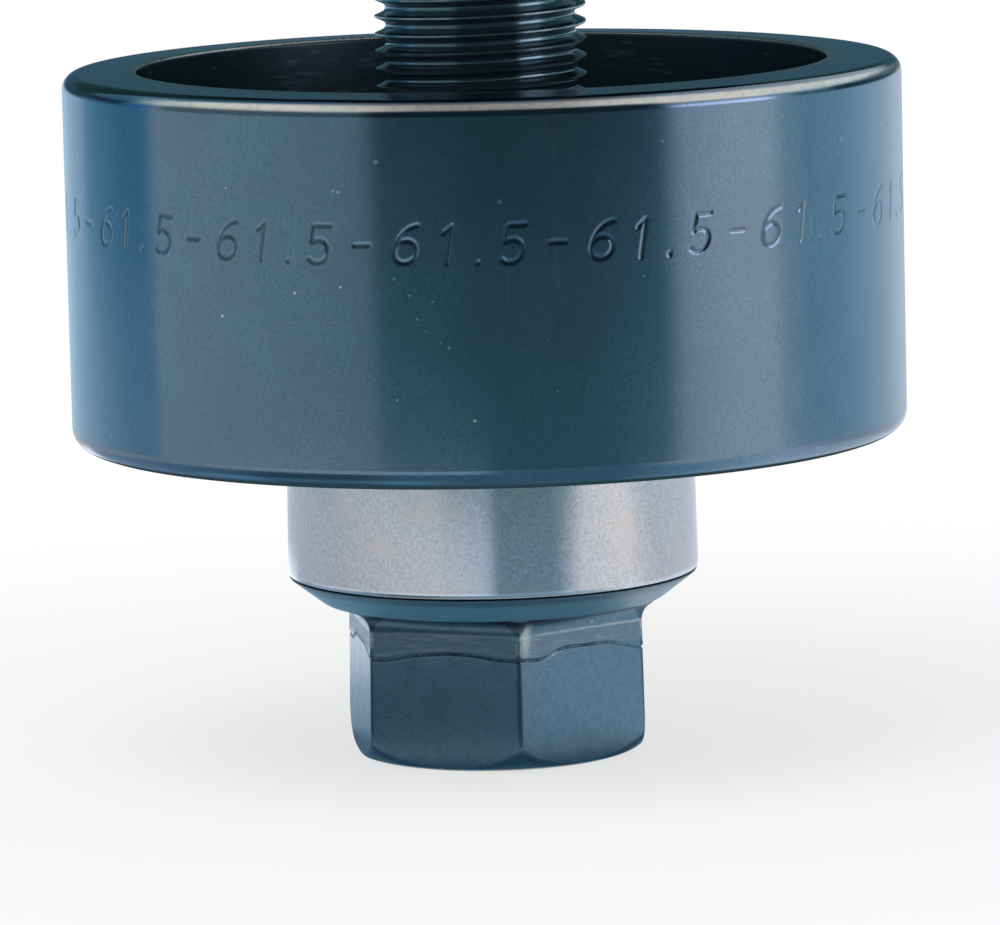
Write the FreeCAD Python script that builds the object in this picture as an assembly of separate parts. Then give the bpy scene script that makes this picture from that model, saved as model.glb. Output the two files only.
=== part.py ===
import FreeCAD, Part
import math
import os
from FreeCAD import Vector

# Knockout punch for thin sheet metal: a cup-shaped die stands mouth up on a ball thrust
# bearing, a forged draw stud passes up through both, and the punch screws down the stud
# into the die. Millimetres. The stud's axis is Z and it stands on the end of its hex head.

# Draw stud
stud_radius = 9.525          # 3/4 inch by 16 thread, modelled at its major diameter
stud_end_out = 2.75          # how far the free end stands out of the punch
stud_end_chamfer = 1.2
centre_hole_radius = 1.6
centre_hole_depth = 4.0

# Forged hex head, widest at its lower end
head_across_flats = 25.2     # forged to suit a 1 inch wrench
head_height = 14.1
head_draft = 1.0             # degrees
head_turn = -21.5            # degrees from +X to one corner of the hexagon
head_corner_round = 0.4
head_end_radius = 11.0       # the flat end that it stands on
head_cove = 1.2              # blend from the flats into the flange
head_cove_steps = 4

# Flange between head and bearing
flange_height = 2.4
flange_ledge = 0.95          # underside left outside the hexagon's corners
flange_edge_land = 0.1

# Ball thrust bearing
bearing_height = 12.55
bearing_width = 9.125        # from the stud's surface out to the foot of the shell
flange_step = 0.15           # how far the shell's foot stands out past the flange
shell_taper = 0.2            # how much narrower the shell is at its top
shell_wall = 1.0
shell_crown = 0.9            # thickness of the closed end, which the die sits on
shell_corner = 0.8
shell_lip_height = 0.6
shell_lip_reach = 0.75       # how far the crimped lip turns in past the wall
shell_foot_round = 0.35
shell_foot_gap = 0.2
race_rim_gap = 0.3
groove_depth = 0.8
groove_conformity = 0.53     # groove radius as a share of the ball's diameter
ball_count = 14
ball_radius = 2.38
ball_gap = 0.05
cage_height = 2.2
cage_land = 0.75             # cage metal left outside the pockets
pocket_gap = 0.12

# Die
die_radius = 37.8
die_height = 33.65
die_crown = 0.25             # the cutting edge stands this much above the outer edge
die_floor = 8.0
die_floor_round = 3.0
die_land_depth = 9.0
die_relief = 0.5
die_relief_ramp = 1.0
die_rim_round = 1.4
die_foot_round = 1.7
bore_chamfer = 0.8
stud_clearance = 0.3         # around the stud in the die, the upper race and the shell

# Punch
punch_radius = 30.75         # cuts a 61.5 hole
cutting_clearance = 0.35
punch_height = 25.0
punch_opening = 10.5         # from the die's cutting edge to the punch's points
punch_shear = 8.0            # from the points to the valleys
punch_wall = 6.5
punch_land = 2.5             # full-size band left above the valleys
punch_relief = 0.4
punch_relief_ramp = 0.8
punch_back_chamfer = 1.5
punch_back_thickness = 9.0
recess_taper = 0.8           # how much the recess narrows from its mouth to its top
recess_round = 1.5
hub_wall = 5.7
hub_start = 9.5              # from the points up to the end of the hub
hub_chamfer = 1.0
splitter_start = 3.0         # from the points up to the splitting edge
splitter_width = 5.0
splitter_bevel = 5.0
thread_clearance = 0.05

flange_z = head_height + flange_height
die_z = flange_z + bearing_height
rim_z = die_z + die_height
edge_z = rim_z + die_crown
point_z = edge_z + punch_opening
back_z = point_z + punch_height
stud_top_z = back_z + stud_end_out
corner_radius = head_across_flats / 2 / math.cos(math.pi / 6)
flange_under_radius = corner_radius + flange_ledge
shell_radius_foot = stud_radius + bearing_width
flange_radius = shell_radius_foot - flange_step


def turned(start, *steps):
    """Solid of revolution about Z. A step is a point (r, z), or a pair of points for an arc."""
    edges = []
    last = Vector(start[0], 0, start[1])
    for step in steps + (start,):
        if isinstance(step[0], tuple):
            middle, end = (Vector(r, 0, z) for r, z in step)
            edges.append(Part.Arc(last, middle, end).toShape())
        else:
            end = Vector(step[0], 0, step[1])
            edges.append(Part.makeLine(last, end))
        last = end
    face = Part.Face(Part.Wire(edges))
    return face.revolve(Vector(0, 0, 0), Vector(0, 0, 1), 360)


def corner(centre_r, centre_z, radius, from_angle, to_angle):
    """The middle and end of a round corner, as an arc step for turned."""
    half = math.radians((from_angle + to_angle) / 2)
    end = math.radians(to_angle)
    return ((centre_r + radius * math.cos(half), centre_z + radius * math.sin(half)),
            (centre_r + radius * math.cos(end), centre_z + radius * math.sin(end)))


def hexagon(across_flats, z):
    """Closed wire of a regular hexagon at height z, turned as the head is."""
    radius = across_flats / 2 / math.cos(math.pi / 6)
    angles = [math.radians(head_turn + 60 * k) for k in range(7)]
    return Part.makePolygon([Vector(radius * math.cos(a), radius * math.sin(a), z) for a in angles])


def hex_block(lower_flats, upper_flats, z0, z1):
    return Part.makeLoft([hexagon(lower_flats, z0), hexagon(upper_flats, z1)], True, True)


def head():
    """Drafted hexagon with rounded corners, a domed end and a cove up to the flange."""
    taper = 2 * math.tan(math.radians(head_draft))
    top_flats = head_across_flats - taper * head_height
    block = hex_block(head_across_flats, top_flats, 0, head_height)
    corners = [e for e in block.Edges if abs(e.Vertexes[0].Z - e.Vertexes[-1].Z) > head_height / 2]
    block = block.makeFillet(head_corner_round, corners)
    dome = corner_radius - head_end_radius
    envelope = turned((0, 0), (head_end_radius, 0),
                      corner(head_end_radius, dome, dome, -90, 0),
                      (corner_radius, head_height), (0, head_height))
    block = block.common(envelope)
    for step in range(head_cove_steps):
        low, high = (math.pi / 2 * (step + k) / head_cove_steps for k in (0, 1))
        block = block.fuse(cove_ring(top_flats, taper, low, high))
    return block


def cove_ring(top_flats, taper, low, high):
    """One step of the cove, between two angles of its quarter circle."""
    sizes = []
    for angle in (low, high):
        depth = head_cove * (1 - math.sin(angle))
        spread = head_cove * (1 - math.cos(angle))
        sizes.append((top_flats + taper * depth + 2 * spread, head_height - depth))
    ring = hex_block(sizes[0][0], sizes[1][0], sizes[0][1], sizes[1][1])
    return ring.common(Part.makeCylinder(flange_under_radius, head_height))


def draw_stud():
    flange = turned((0, head_height), (flange_under_radius, head_height),
                    (flange_radius, flange_z - flange_edge_land), (flange_radius, flange_z),
                    (0, flange_z))
    shank = turned((0, flange_z - flange_height / 2), (stud_radius, flange_z - flange_height / 2),
                   (stud_radius, stud_top_z - stud_end_chamfer),
                   (stud_radius - stud_end_chamfer, stud_top_z), (0, stud_top_z))
    centre = turned((0, stud_top_z - centre_hole_depth),
                    (centre_hole_radius, stud_top_z - centre_hole_depth / 2),
                    (centre_hole_radius, stud_top_z - centre_hole_radius),
                    (2 * centre_hole_radius, stud_top_z), (0, stud_top_z))
    return head().fuse(flange).fuse(shank).cut(centre).removeSplitter()


shell_radius_top = shell_radius_foot - shell_taper
shell_inner_top = shell_radius_top - shell_wall
lip_inner = shell_radius_foot - shell_wall - shell_lip_reach
race_radius = shell_inner_top - race_rim_gap
race_bore = stud_radius + stud_clearance
race_gap = 2 * (ball_radius + ball_gap - groove_depth)
race_height = (bearing_height - shell_crown - race_gap) / 2
ball_z = flange_z + race_height + race_gap / 2
ball_circle_radius = (race_bore + race_radius) / 2
groove_radius = 2 * ball_radius * groove_conformity
groove_offset = groove_radius - ball_radius - ball_gap


def groove(side):
    """Ball track. side is -1 for the lower race and 1 for the upper one."""
    centre = Vector(0, 0, ball_z - side * groove_offset)
    return Part.makeTorus(ball_circle_radius, groove_radius, centre)


def lower_race():
    """Ring seated on the flange, stepped in at the foot where the shell's lip hooks under it."""
    step_z = flange_z + shell_foot_gap + shell_lip_height + race_rim_gap
    step_radius = lip_inner - race_rim_gap
    ring = turned((stud_radius + thread_clearance, flange_z), (step_radius, flange_z), (step_radius, step_z),
                  (race_radius, step_z), (race_radius, flange_z + race_height),
                  (stud_radius + thread_clearance, flange_z + race_height))
    return ring.cut(groove(-1))


def upper_race():
    top = die_z - shell_crown
    ring = turned((race_bore, top - race_height), (race_radius, top - race_height), (race_radius, top),
                  (race_bore, top))
    return ring.cut(groove(1))


def bearing_shell():
    """Drawn cap over the races: closed at the top, tapered skirt, lip crimped in at the foot."""
    foot = flange_z + shell_foot_gap
    inside = die_z - shell_crown
    return turned((race_bore, inside), (shell_inner_top, inside),
                  (shell_radius_foot - shell_wall, foot + shell_lip_height),
                  (lip_inner, foot + shell_lip_height), (lip_inner, foot),
                  (shell_radius_foot - shell_foot_round, foot),
                  corner(shell_radius_foot - shell_foot_round, foot + shell_foot_round, shell_foot_round, -90, 0),
                  (shell_radius_top, die_z - shell_corner),
                  corner(shell_radius_top - shell_corner, die_z - shell_corner, shell_corner, 0, 90),
                  (race_bore, die_z))


def ball_places():
    return [(ball_circle_radius * math.cos(a), ball_circle_radius * math.sin(a))
            for a in (2 * math.pi * k / ball_count for k in range(ball_count))]


def ball_cage():
    """Flat ring midway up the balls, with a drilled pocket for each."""
    pocket = ball_radius + pocket_gap
    foot = ball_z - cage_height / 2
    ring = turned((ball_circle_radius - pocket - cage_land, foot), (ball_circle_radius + pocket + cage_land, foot),
                  (ball_circle_radius + pocket + cage_land, foot + cage_height),
                  (ball_circle_radius - pocket - cage_land, foot + cage_height))
    holes = [Part.makeCylinder(pocket, cage_height, Vector(x, y, foot)) for x, y in ball_places()]
    return ring.cut(Part.makeCompound(holes))


def die():
    """Cup with a cutting edge at the inner rim, relieved below its land, and the stud's bore."""
    mouth = punch_radius + cutting_clearance
    cup = mouth + die_relief
    floor_z = die_z + die_floor
    land_z = edge_z - die_land_depth
    bore = stud_radius + stud_clearance
    return turned((bore, die_z + bore_chamfer), (bore + bore_chamfer, die_z), (die_radius - die_foot_round, die_z),
                  corner(die_radius - die_foot_round, die_z + die_foot_round, die_foot_round, -90, 0),
                  (die_radius, rim_z - die_rim_round),
                  corner(die_radius - die_rim_round, rim_z - die_rim_round, die_rim_round, 0, 90),
                  (mouth, edge_z), (mouth, land_z), (cup, land_z - die_relief_ramp),
                  (cup, floor_z + die_floor_round),
                  corner(cup - die_floor_round, floor_z + die_floor_round, die_floor_round, 0, -90),
                  (bore + bore_chamfer, floor_z), (bore, floor_z - bore_chamfer))


def roof_cutter():
    """What the two sloping planes take off the lower end, leaving points at +X and -X."""
    reach = 2 * punch_radius
    rise = 2 * punch_shear
    corners = [(0, point_z), (reach, point_z + rise), (reach, point_z - rise), (-reach, point_z - rise),
               (-reach, point_z + rise), (0, point_z)]
    wire = Part.makePolygon([Vector(-reach, y, z) for y, z in corners])
    return Part.Face(wire).extrude(Vector(2 * reach, 0, 0))


def splitter():
    """Bar across the recess with a knife edge, which parts the slug in two."""
    edge = point_z + splitter_start
    half = splitter_width / 2
    top = back_z - punch_back_thickness
    corners = [(0, edge), (half, edge + splitter_bevel), (half, top), (-half, top), (-half, edge + splitter_bevel),
               (0, edge)]
    inner = punch_radius - punch_wall / 2
    wire = Part.makePolygon([Vector(-inner, y, z) for y, z in corners])
    bar = Part.Face(wire).extrude(Vector(2 * inner, 0, 0))
    return bar.cut(Part.makeCylinder(stud_radius + hub_wall - hub_chamfer, back_z))


def punch():
    """Ring cutter with a threaded hub. Its lower edge rises from two points to two valleys."""
    land_z = point_z + punch_shear + punch_land
    back_radius = punch_radius - punch_relief
    body = turned((0, point_z), (punch_radius, point_z), (punch_radius, land_z),
                  (back_radius, land_z + punch_relief_ramp), (back_radius, back_z - punch_back_chamfer),
                  (back_radius - punch_back_chamfer, back_z), (0, back_z))
    recess_top = back_z - punch_back_thickness
    wall_radius = punch_radius - punch_wall
    top_radius = wall_radius - recess_taper
    recess = turned((0, point_z), (wall_radius, point_z), (top_radius, recess_top - recess_round),
                    corner(top_radius - recess_round, recess_top - recess_round, recess_round, 0, 90),
                    (0, recess_top))
    hub_z = point_z + hub_start
    hub_radius = stud_radius + hub_wall
    hub = turned((0, hub_z), (hub_radius - hub_chamfer, hub_z), (hub_radius, hub_z + hub_chamfer),
                 (hub_radius, recess_top - recess_round),
                 corner(hub_radius + recess_round, recess_top - recess_round, recess_round, 180, 90),
                 (0, recess_top))
    bore = stud_radius + thread_clearance
    hole = turned((0, hub_z), (bore + bore_chamfer, hub_z), (bore, hub_z + bore_chamfer),
                  (bore, back_z - bore_chamfer), (bore + bore_chamfer, back_z), (0, back_z))
    shape = body.cut(recess).fuse([hub, splitter()]).cut(hole)
    return shape.cut(roof_cutter()).removeSplitter()


def main():
    os.makedirs("parts", exist_ok=True)
    shapes = {
        "draw_stud": draw_stud(),
        "lower_race": lower_race(),
        "upper_race": upper_race(),
        "bearing_shell": bearing_shell(),
        "ball_cage": ball_cage(),
        "die": die(),
        "punch": punch(),
    }
    for number, (x, y) in enumerate(ball_places(), 1):
        shapes[f"bearing_ball_{number:02d}"] = Part.makeSphere(ball_radius, Vector(x, y, ball_z))
    for node, shape in shapes.items():
        shape.exportStep(f"parts/{node}.step")


main()
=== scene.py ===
import math

import bmesh
import bpy
import numpy as np
from bpy.props import FloatProperty, FloatVectorProperty, IntProperty, PointerProperty, StringProperty
from mathutils import Matrix, Vector


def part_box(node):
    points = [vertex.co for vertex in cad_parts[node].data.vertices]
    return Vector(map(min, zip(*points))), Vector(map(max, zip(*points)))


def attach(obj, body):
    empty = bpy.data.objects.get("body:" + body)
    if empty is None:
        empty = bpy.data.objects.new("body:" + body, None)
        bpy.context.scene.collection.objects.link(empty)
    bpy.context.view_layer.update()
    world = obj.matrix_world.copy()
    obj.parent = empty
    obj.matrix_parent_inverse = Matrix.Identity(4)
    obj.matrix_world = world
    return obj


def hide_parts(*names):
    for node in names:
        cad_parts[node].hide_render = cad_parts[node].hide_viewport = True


bl_info = {
    "name": "Knockout punch finish",
    "version": (1, 0, 0),
    "blender": (4, 5, 0),
    "location": "3D View > Sidebar > Knockout",
    "description": "Surfaces, finishes and studio of a knockout punch",
    "category": "Object",
}

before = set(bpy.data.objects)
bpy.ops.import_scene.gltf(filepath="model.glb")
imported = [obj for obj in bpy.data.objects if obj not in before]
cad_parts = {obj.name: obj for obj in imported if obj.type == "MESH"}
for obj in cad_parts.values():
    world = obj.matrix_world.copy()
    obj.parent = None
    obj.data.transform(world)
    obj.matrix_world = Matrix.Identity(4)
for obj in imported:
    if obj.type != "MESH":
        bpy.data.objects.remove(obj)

MM = 0.001

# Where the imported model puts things, in metres
die_low, die_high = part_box("die")
shell_low, shell_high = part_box("bearing_shell")
stud_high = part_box("draw_stud")[1]
punch_low, punch_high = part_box("punch")
race_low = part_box("lower_race")[0]


def length(name, description, size):
    """A length property, its default in millimetres."""
    return FloatProperty(name=name, description=description, default=size * MM, unit="LENGTH", precision=5)


def tint(name, description, colour):
    """A colour property."""
    return FloatVectorProperty(
        name=name, description=description, default=colour, subtype="COLOR", min=0, max=1)


class KnockoutForm(bpy.types.PropertyGroup):
    """Sizes that only the visible surfaces have."""

    thread_pitch: length("Thread pitch", "Rise of the stud's thread in one turn", 1.5875)
    thread_depth: length("Thread depth", "From the thread's crest to its root", 0.97)
    thread_phase: length("Thread phase", "Height of one crest on the +X side", 66.33)
    flash_step: length("Forging step", "How far the head stands proud above its forging line", 0.03)
    flash_groove: length("Forging groove", "Depth of the fold along the forging line", 0.14)
    stamp_height: length("Stamp height", "Height of the stamped numerals", 3.25)
    stamp_depth: length("Stamp depth", "Depth of the stamped numerals", 0.1)
    stamp_repeats: IntProperty(
        name="Stamp repeats", description="Times that the size is stamped round the die", default=14, min=1)
    stamp_text: StringProperty(
        name="Stamp", description="The hole's size in millimetres, of the signs 1 5 6 . -", default="61.5-")


class KnockoutFinish(bpy.types.PropertyGroup):
    """Colours of the finishes."""

    oxide: tint("Black oxide", "Mirror colour of the blackened steel", (0.135, 0.2, 0.272))
    thread: tint("Thread black", "Mirror colour of the blackened thread", (0.12, 0.2, 0.235))
    forged: tint("Forged scale", "Mirror colour of the blackened forging", (0.10, 0.165, 0.225))
    # Painted light: a lighter, greyer copy of the forging for the cone's right side
    forged_lit_side: tint("Painted lit forging", "Greyer blue of the flange, to the right", (0.17, 0.28, 0.36))
    bare: tint("Bare steel", "Where wear has gone through the black", (0.56, 0.55, 0.52))
    plated: tint("Plated shell", "Mirror colour of the bearing's drawn shell", (0.45, 0.46, 0.495))
    # Painted shade: the dark matt colour painted under the die and inside its cup
    painted_shade: tint("Painted shade black", "Painted shade, matt: under the die and inside it", (0.028, 0.066, 0.08))
    underside: tint("Flange underside", "Matt blued cone under the flange", (0.075, 0.235, 0.355))
    ground: tint("Ground steel", "Bearing races and balls", (0.58, 0.57, 0.55))
    brass: tint("Cage brass", "Ball cage", (0.62, 0.42, 0.16))


class KnockoutStage(bpy.types.PropertyGroup):
    """Camera, floor and light."""

    camera_distance: length("Camera distance", "From the camera to its target", 678.8)
    camera_elevation: FloatProperty(
        name="Camera elevation", description="Above the horizon",
        default=math.radians(7.92), subtype="ANGLE")
    camera_roll: FloatProperty(
        name="Camera roll", description="Tilt of the picture, clockwise positive",
        default=math.radians(-1.363), subtype="ANGLE")
    camera_lens: FloatProperty(
        name="Focal length", description="On a 36 mm sensor, in millimetres", default=269.2)
    camera_target: FloatVectorProperty(
        name="Camera target", description="The point in the middle of the picture",
        default=(0.842 * MM, 0, 26.285 * MM), subtype="XYZ", unit="LENGTH")
    key_power: FloatProperty(
        name="Overhead light", description="Power of the large overhead lamp, in watts", default=1.6)
    ambient: FloatProperty(
        name="Surrounding light", description="Brightness of the surroundings on dull surfaces",
        default=0.62)
    card_radius: length("Card radius", "Radius of the dome of studio cards", 180)


# Shader arithmetic


class Signal:
    """A number on a shader; arithmetic on it adds Math nodes to its material."""

    def __init__(self, tree, socket):
        self.tree = tree
        self.socket = socket

    def maths(self, operation, *values):
        return add_node(self.tree, "Math", {"operation": operation}, dict(enumerate((self,) + values)))

    def reflected(self, operation, other):
        return add_node(self.tree, "Math", {"operation": operation}, {0: other, 1: self})

    def __add__(self, other):
        return self.maths("ADD", other)

    __radd__ = __add__

    def __mul__(self, other):
        return self.maths("MULTIPLY", other)

    __rmul__ = __mul__

    def __sub__(self, other):
        return self.maths("SUBTRACT", other)

    def __rsub__(self, other):
        return self.reflected("SUBTRACT", other)

    def __truediv__(self, other):
        return self.maths("DIVIDE", other)

    def __rtruediv__(self, other):
        return self.reflected("DIVIDE", other)

    def within(self, low=0.0, high=1.0):
        """Smooth step: 0 below low, 1 above high."""
        return add_node(self.tree, "MapRange", {"interpolation_type": "SMOOTHSTEP"},
                        {"Value": self, "From Min": low, "From Max": high})

    def near(self, place, reach):
        """1 at place, falling smoothly to 0 a reach away on either side."""
        return 1 - (self - place).maths("ABSOLUTE").within(0.0, reach)


def add_node(tree, kind, settings=None, values=None, output=0):
    """Adds a node of a type, first its settings and then its sockets, and returns one output."""
    node = tree.nodes.new("ShaderNode" + kind)
    for name, value in (settings or {}).items():
        setattr(node, name, value)
    for name, value in (values or {}).items():
        socket = node.inputs[name]
        if isinstance(value, Signal):
            tree.links.new(value.socket, socket)
        else:
            socket.default_value = value
    return Signal(tree, node.outputs[output]) if node.outputs else None


def new_material(name):
    """An empty node material, with its tree."""
    material = bpy.data.materials.new(name)
    material.use_nodes = True
    material.node_tree.nodes.clear()
    return material, material.node_tree


def where(tree):
    """Object coordinates, and from them X, the radius from the axis and the height."""
    place = add_node(tree, "TexCoord", output="Object")
    x, y, z = (add_node(tree, "SeparateXYZ", values={0: place}, output=axis) for axis in range(3))
    return place, x, (x * x + y * y).maths("SQRT"), z


def times(place, factors):
    """A place with each coordinate multiplied by its own factor."""
    return add_node(place.tree, "VectorMath", {"operation": "MULTIPLY"}, {0: place, 1: factors})


def measure(place, operation, other):
    """The distance from a place to a point, or its dot product with a direction."""
    settings = {"operation": operation}
    return add_node(place.tree, "VectorMath", settings, {0: place, 1: other}, output="Value")


def grain(place, size, stretch=(1, 1, 1), detail=2.0, roughness=0.5):
    """Noise with features of one size in metres, drawn out along an axis by a stretch over 1."""
    scaled = times(place, [1 / (size * s) for s in stretch])
    return add_node(place.tree, "TexNoise", None,
                    {"Vector": scaled, "Scale": 1.0, "Detail": detail, "Roughness": roughness})


def specks(place, size, share):
    """Scattered dots: 1 inside a dot. Each cell of one size holds a dot of a share of its width."""
    scaled = times(place, [1 / size] * 3)
    distance = add_node(place.tree, "TexVoronoi", None, {"Vector": scaled, "Scale": 1.0})
    return 1 - distance.within(share * 0.6, share)


def blend(mask, low, high):
    """Colour low where the mask is 0 and high where it is 1."""
    return add_node(mask.tree, "Mix", {"data_type": "RGBA"}, {0: mask, 6: low, 7: high}, output=2)


def surface(colour, roughness, height, lift, metallic=1.0, dull=None, dull_colour=None):
    """A metal surface whose bump has a height signal scaled to a lift in metres.

    Where the mask dull is 1, a plain matt colour stands in for the metal; the die paints its shade this
    way.
    """
    tree = colour.tree
    bump = add_node(tree, "Bump", None, {"Height": height, "Distance": lift, "Strength": 1.0})
    shader = add_node(tree, "BsdfPrincipled", None,
                      {"Base Color": colour, "Roughness": roughness, "Metallic": metallic, "Normal": bump})
    if dull:
        flat = add_node(tree, "BsdfDiffuse", None, {"Color": opaque(dull_colour)})
        shader = add_node(tree, "MixShader", None, {0: dull, 1: shader, 2: flat})
    add_node(tree, "OutputMaterial", None, {"Surface": shader})


def tinted(colour, factor):
    """A colour made lighter or darker, as a shader colour."""
    return (*(min(1.0, c * factor) for c in colour), 1.0)


def opaque(colour):
    return (*colour, 1.0)


# Finishes


def nicks(place):
    """Bright nicks of the die's wall: 1 inside a nick. Each has a direction, a height and a radius."""
    marks = 0
    for degrees, height, size in wall_nicks:
        swing = math.radians(degrees)
        centre = (die_high.x * math.cos(swing), die_high.x * math.sin(swing), height * MM)
        gap = measure(place, "DISTANCE", centre)
        marks = (1 - gap.within(0.3 * size * MM, 1.15 * size * MM)) + marks
    return marks


def rim_wear(place, across, radius, height, smears):
    """Where the die's rim is bare: a stripe round its shoulder, worn and partly a painted highlight that
    stops on the left where the highlight ends, the mouth's edge and a ground ring.
    """
    rubbed = grain(place, 1.1 * MM, detail=4, roughness=0.7)
    # The shoulder's bare stripe also paints its highlight, and stops on the left where the highlight ends
    shoulder = radius.within(die_high.x - die_rim_round, die_high.x - 0.8 * die_rim_round)
    shoulder = shoulder * height.within(die_rim - 1.05 * MM, die_rim - 0.8 * MM)
    shoulder = shoulder * (1 - height.within(die_rim - 0.5 * MM, die_rim - 0.24 * MM))
    shoulder = shoulder * (0.75 + 0.25 * rubbed.within(0.3, 0.6)) * across.within(*shoulder_highlight_start)
    edge = (1 - radius.within(die_mouth + 0.35 * MM, die_mouth + 0.8 * MM)) * rubbed.within(0.36, 0.5)
    ring = 1 - radius.within(die_mouth + 1.6 * MM, die_mouth + 2.4 * MM)
    ring = ring * (0.26 + 0.6 * smears.within(0.35, 0.7))
    return shoulder + height.within(die_rim - 0.05 * MM, die_rim) * (edge * 0.9 + ring)


def wall_wear(place, radius, mottle, fine):
    """Where the die's wall is bare: dots, dust, faint scratches and nicks."""
    dots = specks(place, 3.2 * MM, 0.055) * grain(place, 9 * MM).within(0.5, 0.56)
    dust = specks(place, 1.3 * MM, 0.05) * grain(place, 5 * MM).within(0.5, 0.6) * 0.3
    scratch = grain(place, 0.14 * MM, stretch=(5, 5, 45), detail=1).within(0.68, 0.76)
    scratch = scratch * mottle.within(0.48, 0.56) * 0.05
    struck = nicks(place) * (0.2 + 0.5 * fine.within(0.3, 0.6))
    return (dots + dust + scratch + struck) * radius.within(die_high.x - 0.2 * MM, die_high.x - 0.05 * MM)


def foot_painted_highlight(place, height):
    """A painted highlight: a pale line low on the die's foot, on the side that faces the light."""
    lit = measure(place, "DOT_PRODUCT", foot_lit_side).within(*foot_lit_reach)
    band = height.within(die_low.z + 0.5 * MM, die_low.z + 0.75 * MM)
    return band * (1 - height.within(die_low.z + 0.8 * MM, die_low.z + 1.05 * MM)) * lit


def die_finish(finish):
    """Turned and blackened steel: numerals darkened by painted shade, a worn rim whose shoulder stripe is
    partly a painted highlight, a worn wall, a painted highlight low on the foot, and painted shade, dull
    and dark, inside the cup and beneath.
    """
    material, tree = new_material("die_black")
    place, across, radius, height = where(tree)
    mottle = grain(place, 7 * MM, detail=3)
    fine = grain(place, 0.3 * MM, detail=4, roughness=0.7)
    rings = grain(place, 0.12 * MM, stretch=(60, 60, 1), detail=2)
    lathe = grain(place, 0.3 * MM, stretch=(40, 40, 1), detail=2)
    smears = grain(place, 0.5 * MM, stretch=(6, 6, 1), detail=3)
    colour = blend(mottle.within(0.35, 0.65), tinted(finish.oxide, 0.97), tinted(finish.oxide, 1.06))
    colour = blend(fine.within(0.32, 0.68), tinted(finish.oxide, 0.84), colour)
    # Painted shade in the stamped grooves: darker oxide where the wall sinks in
    stamp_shade = 1 - radius.within(die_high.x - 0.075 * MM, die_high.x - 0.015 * MM)
    stamp_shade = stamp_shade * height.near(stamp_middle, stamp_reach).within(0.02, 0.1)
    colour = blend(stamp_shade * 0.6, colour, tinted(finish.oxide, 0.35))
    # Painted highlight: a lighter copy of the oxide low on the foot, on its lit side
    colour = blend(foot_painted_highlight(place, height), colour, tinted(finish.oxide, 1.9))
    # Painted shade inside the cup: dark and less metallic
    inside = 1 - radius.within(die_mouth + 0.3 * MM, die_mouth + 0.7 * MM)
    inside = inside * height.within(die_low.z + 6 * MM, die_low.z + 9 * MM)
    inside = inside * (1 - height.within(die_edge - 0.3 * MM, die_edge))
    colour = blend(inside, colour, opaque(finish.painted_shade))
    scuffs = inside * smears.within(0.52, 0.72) * mottle.within(0.5, 0.6) * 0.55
    colour = blend(scuffs, colour, tinted(finish.oxide, 1.1))
    bare = rim_wear(place, across, radius, height, smears) + wall_wear(place, radius, mottle, fine)
    bare = bare.maths("MINIMUM", 1.0)
    colour = blend(bare, colour, opaque(finish.bare))
    roughness = 0.09 + 0.06 * fine + 0.03 * mottle + 0.12 * bare + 0.12 * inside
    relief = fine * 0.7 + rings * 0.3 + lathe * 0.3
    # Painted shade beneath the die: a dark matt colour on its underside
    beneath = 1 - height.within(die_low.z + 0.36 * MM, die_low.z + 0.56 * MM)
    beneath = beneath * radius.within(*die_underside_shade)
    surface(colour, roughness, relief, 0.002 * MM, 1 - 0.65 * inside, beneath, finish.painted_shade)
    return material


def cone_colour(finish, colour, cone, across, radius, streaks):
    """The matt cone under the flange: streaked, painted lighter and greyer to the right as light falls, and
    painted shadow along the flange's edge.
    """
    colour = blend(cone, colour, opaque(finish.underside))
    colour = blend(cone * streaks.within(0.4, 0.65) * 0.4, colour, tinted(finish.underside, 0.7))
    # Painted light: greyer and lighter towards the right
    colour = blend(cone * across.within(*cone_lit_side) * 0.5, colour, opaque(finish.forged_lit_side))
    # Painted shadow: darker along the flange's edge, under the shell
    edge = cone * radius.within(flange_radius - 1.1 * MM, flange_radius - 0.4 * MM)
    return blend(edge * 0.7, colour, tinted(finish.underside, 0.3))


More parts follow.
